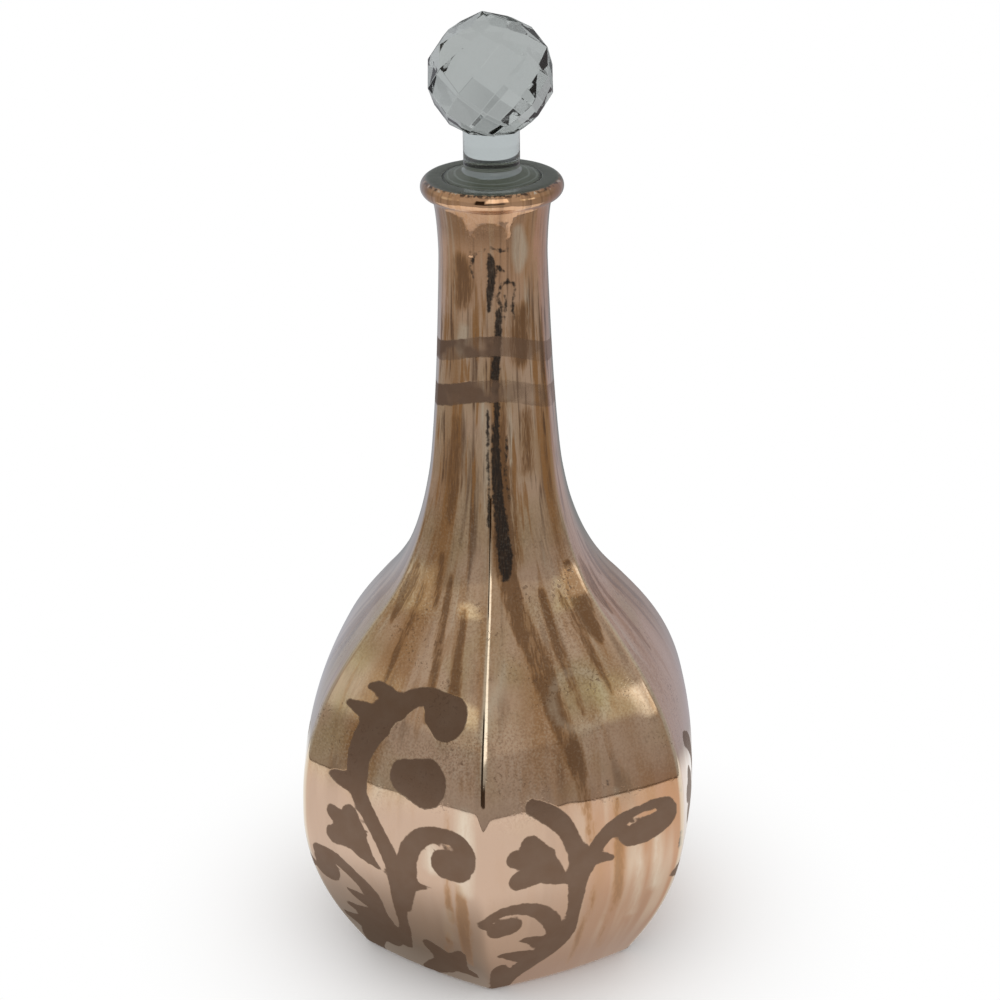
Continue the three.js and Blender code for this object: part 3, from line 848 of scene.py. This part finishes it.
def finishLustre():
    material, mix = newMaterial("copperLustre")
    place = mix.place()
    x, y, z = (part * (1 / mm) for part in mix.parts(place))
    reach = (x * x + y * y).power(0.5)
    aside = x / reach                      # -1 at the left edge of the front, 1 at its right edge
    azimuth = mix.degrees("ARCTAN2", x, y * -1)

    def streaks(count, stretch, detail=2.0, shift=0.0):
        # lines that run up the bottle, as many round it as the count says
        vector = mix.node("ShaderNodeCombineXYZ", None, aside.socket, (y / reach).socket,
                          (z * stretch + shift).socket).outputs[0]
        return mix.noise(vector, count, detail)

    def grain(size, detail=2.0):
        return mix.noise(place, 1 / (size * mm), detail, 0.55)

    def mark(name):
        return mix.wire(mix.node("ShaderNodeAttribute", {"attribute_name": name}), "Fac")

    def over(tone, factor):
        nonlocal color
        color = mix.blend(factor, color, lustre[tone])

    cloud = grain(30)
    upper = (z + cloud * 12).step(*lustre["upper"])
    neck = z.step(*lustre["neck"])
    neckTop = z.step(*lustre["neckTop"])
    wide = streaks(2.2, 0.004)
    middle = streaks(6, 0.003, 3.0, 2.0)
    fine = streaks(11, 0.004, 3.0, 5.0)
    hair = streaks(60, 0.006, 1.0, 9.0)

    color = mix.blend(upper, lustre["rose"], lustre["tan"])
    blush = aside.step(0.25, 0.8) * (1 - upper) * (1.7 - cloud * 1.4)
    over("blush", blush)
    stripes = streaks(7, 0.002, 2.0, 13.0)
    over("cream", stripes.step(0.5, 0.64) * blush * 0.5)
    over("amber", (1 - stripes).step(0.52, 0.66) * blush * 0.4)
    some = upper * 0.75 + neck * (0.25 - neckTop * 0.65) + 0.1
    over("olive", cloud.step(0.44, 0.64) * upper * (0.65 - neck * 0.35))
    over("copper", neckTop * 0.8)
    # painted shade under the lip's bead, weaker on the right
    shadeUnderLip = z.step(231, 238) * (1 - z.step(244, 246.5)) * (1 - aside.step(0.1, 0.5) * 0.7)
    over("shadeUnderLip", shadeUnderLip * 0.6)
    over("amber", wide.step(0.5, 0.72) * some * 0.9)
    over("brown", middle.step(0.55, 0.7) * some * 0.8)
    over("cream", (1 - middle).step(0.58, 0.74) * some * 0.8)
    over("amber", fine.step(0.54, 0.66) * some * (0.5 + neck * 0.35))
    over("brown", (1 - fine).step(0.56, 0.68) * some * neck * 0.8)
    over("brown", (hair - 0.35) * some * grain(25).step(0.4, 0.7) * 0.8)
    # painted shade: the film darkens towards the foot, and higher up on the left
    low = (1 - z.step(4, 26)) * 0.75 + (1 - z.step(20, 50)) * (1 - aside.step(-0.1, 0.05)) * 0.35
    foot = mix.blend(aside.step(-0.05, 0.1), lustre["shadeAtFootLeft"], lustre["shadeAtFootRight"])
    color = mix.blend(low.lowest(0.8), color, foot)
    # drips, and on the neck brown haze that is partly a painted reflection
    dripAndReflection = mark("dripAndReflection")
    brushed = fine.step(0.42, 0.56) * 0.5 + hair.step(0.4, 0.6) * 0.4 + 0.5
    ragged = dripAndReflection * brushed
    over("amber", ragged.step(0.0, 0.7) * 0.7)
    over("brown", ragged.step(0.2, 1.0) * (0.3 + upper * 0.35))
    # pale strips, and on the neck's front edge a painted highlight
    over("cream", mark("pale") * (brushed * 0.3 + 0.3))
    # dark chips and a bubble's outline on the body, and on the neck a painted dark reflection
    chipsAndDarkReflection = 1 - (mark("chipsAndDarkReflection") + (grain(1.5) - 0.5) * 1.8 + (fine - 0.5) * 2).step(-0.4, 0.4)
    over("chipsAndDarkReflection", chipsAndDarkReflection * (0.75 + hair * 0.4))

    dust = grain(0.7, 1.0)
    # a pale line along the ridges: wear, and a painted highlight
    fromRidge = (azimuth.absolute() - 60).absolute().lowest(azimuth.absolute() + (1 - upper) * 9)
    ridgeWearAndHighlight = 1 - fromRidge.step(0.4, 1.4)
    over("cream", ridgeWearAndHighlight * (1 - neck) * 0.7)
    # painted shade at the left and right sides of the neck
    edge = aside.absolute().step(0.8, 0.98) * neck * (1 - aside.step(0.0, 0.1) * (1 - z.step(185, 200)))
    over("brown", edge * (0.4 - aside.step(0, 0.1) * 0.2))
    # painted shade at the left and right ends of the lip
    lipSideShade = z.step(243, 246) * aside.absolute().step(0.6, 0.95)
    over("brown", lipSideShade * 0.5)
    dusty = upper * (1 - neck * 0.75) * (grain(22, 2.0) * 1.3 - 0.3) * (1 - dripAndReflection * 0.6)
    over("brown", dust.step(0.52, 0.64) * dusty * 0.5)
    over("cream", (1 - dust).step(0.52, 0.66) * dusty * 0.5)
    pitted = grain(16, 3.0).step(0.5, 0.62) * upper * (1 - neck)
    pits = grain(1.0, 1.0).step(0.58, 0.68) * pitted
    over("brown", pits * 0.55)

    wobble = (grain(2.2) - 0.5) * 0.9
    etched = 1 - (mark("etch") + wobble).step(-0.25, 0.25)
    worn = 1 - neck * (grain(9).step(0.45, 0.65) * 0.4 + aside.step(0.0, 0.3) * 0.35)
    etched = etched * worn
    etchedTone = mix.blend(grain(6) * 0.5, lustre["etched"], lustre["brown"])
    color = mix.blend(etched, color, etchedTone)

    # painted glints and dark reflections along the top of the bead
    rim = z.step(*lustre["rim"]) * 0.9
    rimGlintSpots = grain(1.8, 2.0)
    over("rimDarkReflection", rimGlintSpots.step(0.5, 0.6) * rim)
    over("rimGlint", (1 - rimGlintSpots).step(0.56, 0.68) * rim)
    bare = (z + (grain(1.4) - 0.5) * 0.3).step(*lustre["bare"])
    over("bareGlass", bare)

    rough = etched * 0.42 + pits * 0.2 + dusty * 0.05 + shadeUnderLip * 0.08 + lustre["roughness"]
    lean = azimuth.step(0, 20) * (1 - azimuth.step(20, 44)) * z.step(140, 170)
    wave = grain(14, 1.0) * 0.1 + grain(5, 1.0) * 0.012 + neck * streaks(3, 0.03, 2.0, 7.0) * 0.3 + lean * 0.4
    wave = wave + grain(6, 2.0) * z.step(190, 215) * 0.2
    bumps = wave + pits * -0.02 + etched * -0.03 + dust * dusty * 0.006
    mix.principled(Base_Color=color, Roughness=rough, Metallic=1 - bare, Normal=mix.bump(bumps, 1.0, 1.0),
                   Coat_Weight=(1 - etched) * 0.8, Coat_Roughness=0.03, Coat_IOR=1.5)


# The other glass: tones, the size of its grain per metre and how rough it is
glass = {
    "innerLight": (120, 98, 78), "innerDark": (78, 66, 54), "innerCloud": 60,
    "seatLight": (128, 132, 126), "seatDark": (92, 97, 92), "seatRoughness": 0.5, "taperRoughness": 0.4,
    "grit": 2500, "gritDepth": 0.02,
    "cloud": 90, "cloudDrop": 8, "wave": 60, "waveHeight": 0.04,
}


def finishInnerGlass():
    material, mix = newMaterial("innerGlass")
    cloud = mix.noise(mix.place(), glass["innerCloud"], 3.0)
    color = mix.blend(cloud, glass["innerLight"], glass["innerDark"])
    mix.principled(Base_Color=color, Roughness=cloud * 0.15 + 0.1, Metallic=0.6)


def finishGround(name, light, dark, roughness, **more):
    material, mix = newMaterial(name)
    grit = mix.noise(mix.place(), glass["grit"])
    color = mix.blend(grit, light, dark)
    mix.principled(Base_Color=color, Roughness=grit * 0.2 + roughness,
                   Normal=mix.bump(grit, 0.5, glass["gritDepth"]), **more)


# The stopper: a ground plug, its crown and the stem, turned from one outline
stopper = {
    "stepsAround": 96,
    "plug": 14.32, "plugLength": 25, "plugShares": (0.25, 0.5, 0.75), "taper": 0.05,
    "edge": 0.35, "edgeSteps": (4, 5), "groundSlack": 0.3, "crownRise": 1.6, "crownPoint": (11.5, 0.8),
    "stem": 8.2, "fillet": 1.5, "filletSteps": 6, "stemLength": 10.7, "smoothAngle": 40,
    "coreRadius": 13.7, "coreDepth": 0.8,
    "tint": (184, 191, 192), "roughness": 0.0, "ground": (176, 181, 174), "groundDrop": 20,
    # the core's ring tone is a painted highlight, and its middle tone painted light
    "core": (186, 188, 170), "coreDrop": 34, "coreHighlightRing": (236, 238, 228), "coreMiddleLight": (250, 252, 250),
    "coreHighlightRings": ((9.9, 10.2, 10.4, 10.9), (12.4, 12.8, 12.9, 13.3)), "coreMiddleLightEdge": (7.2, 7.8),
    "coreWobble": 1.2, "coreWobbleScale": 160, "coreCloud": 300,
}
ball = {
    "flat": 17.2, "around": 8, "rowsAbove": 4, "rowsBelow": 3, "lean": 6.5, "twist": -1.6,
    "blank": 1.25, "blankSteps": (32, 24),       # what it is cut from, in ball radii
    "edgeRounding": 0.12, "bond": 0.1, "bondOverlap": 0.05, "weld": 0.02, "sameSide": 0.0001, "flatAngle": 1,
    "tint": (174, 179, 178), "roughness": 0.02,
}


def ballDrop():
    # from the ball's middle down to where the stem's edge meets it, with the bond
    return math.sqrt(ball["flat"] ** 2 - stopper["stem"] ** 2) + ball["bond"]


def stopperHeights():
    stemFoot = bottle["lipHeight"] + stopper["crownRise"] + stopper["fillet"]
    stemTop = stemFoot + stopper["stemLength"]
    return stemFoot, stemTop, stemTop + ballDrop()


def growStopper():
    s = stopper
    stemFoot, stemTop, _ = stopperHeights()
    lip = bottle["lipHeight"]
    foot = lip - s["plugLength"]
    footRadius = s["plug"] - s["taper"] * s["plugLength"]
    edge = s["edge"]
    lowSteps, highSteps = s["edgeSteps"]
    profile = arc((footRadius - edge, foot + edge), edge, -90, 0, lowSteps)
    profile += [(footRadius + (s["plug"] - footRadius) * t, foot + edge + (s["plugLength"] - 2 * edge) * t)
                for t in s["plugShares"]]
    profile += arc((s["plug"] - edge, lip - edge), edge, 0, 90, highSteps)
    profile += [(s["crownPoint"][0], lip + s["crownPoint"][1])]
    profile += arc((s["stem"] + s["fillet"], stemFoot), s["fillet"], -90, -180, s["filletSteps"])
    profile += [(s["stem"], stemFoot + s["stemLength"] / 2), (s["stem"], stemTop)]
    deselectAll()
    radius, height = profile[0]
    bpy.ops.mesh.primitive_circle_add(vertices=s["stepsAround"], radius=radius * mm, fill_type="NGON",
                                      location=(0, 0, height * mm))
    applyPlace()
    made = bpy.context.object
    setMode("EDIT")
    selectMesh()
    for wider, higher in profile[1:]:
        extrudeUp(higher - height)
        factor = wider / radius
        bpy.ops.transform.resize(value=(factor, factor, 1), center_override=(0, 0, higher * mm))
        radius, height = wider, higher
    faceOut()
    made.data.materials.append(bpy.data.materials["clearGlass"])
    made.data.materials.append(bpy.data.materials["groundTaper"])
    for face in made.data.polygons:
        reach = math.hypot(face.center.x, face.center.y)
        if reach > (footRadius - s["groundSlack"]) * mm and face.center.z < (lip - 1) * mm:
            face.material_index = 1
    deselectAll()
    bpy.ops.mesh.primitive_cylinder_add(vertices=s["stepsAround"], radius=s["coreRadius"] * mm,
                                        depth=s["coreDepth"] * mm,
                                        location=(0, 0, (lip - s["coreDepth"]) * mm))
    core = bpy.context.object
    applyPlace()
    setMode("EDIT")
    bpy.ops.mesh.bevel(affect="EDGES", offset=s["coreDepth"] / 4 * mm, segments=2)
    setMode("OBJECT")
    core.data.materials.append(bpy.data.materials["cloudyCore"])
    activate(made)
    bpy.ops.object.join()
    bpy.ops.object.shade_smooth_by_angle(angle=math.radians(s["smoothAngle"]))
    made.name = "turnedStopper"
    return made


def cutBall():
    # a ball ground flat, facet by facet: each row is turned by half a facet from the next
    _, _, centre = stopperHeights()
    deselectAll()
    segments, rings = ball["blankSteps"]
    bpy.ops.mesh.primitive_uv_sphere_add(segments=segments, ring_count=rings,
                                         radius=ball["blank"] * ball["flat"] * mm)
    made = bpy.context.object
    setMode("EDIT")
    halfFacet = math.pi / ball["around"]
    rowRatio = (1 + math.sin(halfFacet)) / math.cos(halfFacet)
    lean = Matrix.Rotation(math.radians(-ball["lean"]), 3, "Y")
    cuts = []
    for row in range(-ball["rowsAbove"], ball["rowsBelow"] + 1):
        fromTop = 2 * math.atan(rowRatio ** row)
        for facet in range(ball["around"]):
            around = math.radians(ball["twist"]) + (2 * facet + abs(row) % 2) * halfFacet
            normal = Vector((math.sin(fromTop) * math.sin(around), -math.sin(fromTop) * math.cos(around),
                             math.cos(fromTop)))
            cuts.append((lean @ normal, ball["flat"]))
    cuts.append((Vector((0, 0, -1)), ballDrop() + ball["bondOverlap"]))
    for normal, distance in cuts:
        selectMesh()
        bpy.ops.mesh.bisect(plane_co=normal * distance * mm, plane_no=normal, use_fill=True,
                            clear_outer=True, threshold=ball["sameSide"] * mm)
    selectMesh()
    bpy.ops.mesh.remove_doubles(threshold=ball["weld"] * mm)
    bpy.ops.mesh.dissolve_limited(angle_limit=math.radians(ball["flatAngle"]))
    bpy.ops.mesh.normals_make_consistent(inside=False)
    selectMesh()
    bpy.ops.mesh.bevel(affect="EDGES", offset=ball["edgeRounding"] * mm, segments=1)
    setMode("OBJECT")
    made.location.z = centre * mm
    applyPlace()
    made.data.materials.append(bpy.data.materials["cutGlass"])
    made.name = "facetedBall"
    return made


def darker(tone, drop):
    return tuple(part - drop for part in tone)


def finishGlass(name, tint, roughness):
    material, mix = newMaterial(name)
    place = mix.place()
    cloud = mix.noise(place, glass["cloud"])
    color = mix.blend(cloud, tint, darker(tint, glass["cloudDrop"]))
    wave = mix.noise(place, glass["wave"], 1.0) * glass["waveHeight"]
    mix.principled(Base_Color=color, Roughness=cloud * 0.02 + roughness, Transmission_Weight=1.0, IOR=1.5,
                   Normal=mix.bump(wave, 1.0, 1.0))


def finishCore():
    # the cloudy glass of the ground plug, seen through the clear crown, with two painted highlight rings and
    # painted light in the middle under the stem
    material, mix = newMaterial("cloudyCore")
    place = mix.place()
    x, y = (part * (1 / mm) for part in mix.parts(place)[:2])
    wobble = (mix.noise(place, stopper["coreWobbleScale"]) - 0.5) * stopper["coreWobble"]
    reach = (x * x + y * y).power(0.5) + wobble
    # painted highlight rings
    ring = sum(reach.step(a, b) * (1 - reach.step(c, d)) for a, b, c, d in stopper["coreHighlightRings"])
    dark = darker(stopper["core"], stopper["coreDrop"])
    cloud = mix.noise(place, stopper["coreCloud"], 3.0)
    color = mix.blend(cloud, stopper["core"], dark)
    color = mix.blend(ring * 0.6, color, stopper["coreHighlightRing"])
    # painted light in the middle, under the stem
    color = mix.blend(1 - reach.step(*stopper["coreMiddleLightEdge"]), color, stopper["coreMiddleLight"])
    mix.principled(Base_Color=color, Roughness=ring * 0.1 + 0.5)


addCamera()
addStudio()
print("camera and studio ready")

finishLustre()
finishInnerGlass()
finishGround("groundSeat", glass["seatLight"], glass["seatDark"], glass["seatRoughness"])
finishGlass("clearGlass", stopper["tint"], stopper["roughness"])
finishGround("groundTaper", stopper["ground"], darker(stopper["ground"], stopper["groundDrop"]),
             glass["taperRoughness"], Transmission_Weight=0.4, IOR=1.5)
finishCore()
finishGlass("cutGlass", ball["tint"], ball["roughness"])
print("materials ready")

skin = joinShells(growOutside(), growInside())
markBottle(skin)
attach(skin, "bottle")
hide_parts("bottle")
print("bottle", len(skin.data.polygons), "faces")

plug = growStopper()
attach(plug, "stopper")
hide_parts("stopper")
finial = cutBall()
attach(finial, "stopper")
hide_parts("stopper_ball")
print("stopper and ball", len(plug.data.polygons), len(finial.data.polygons), "faces")
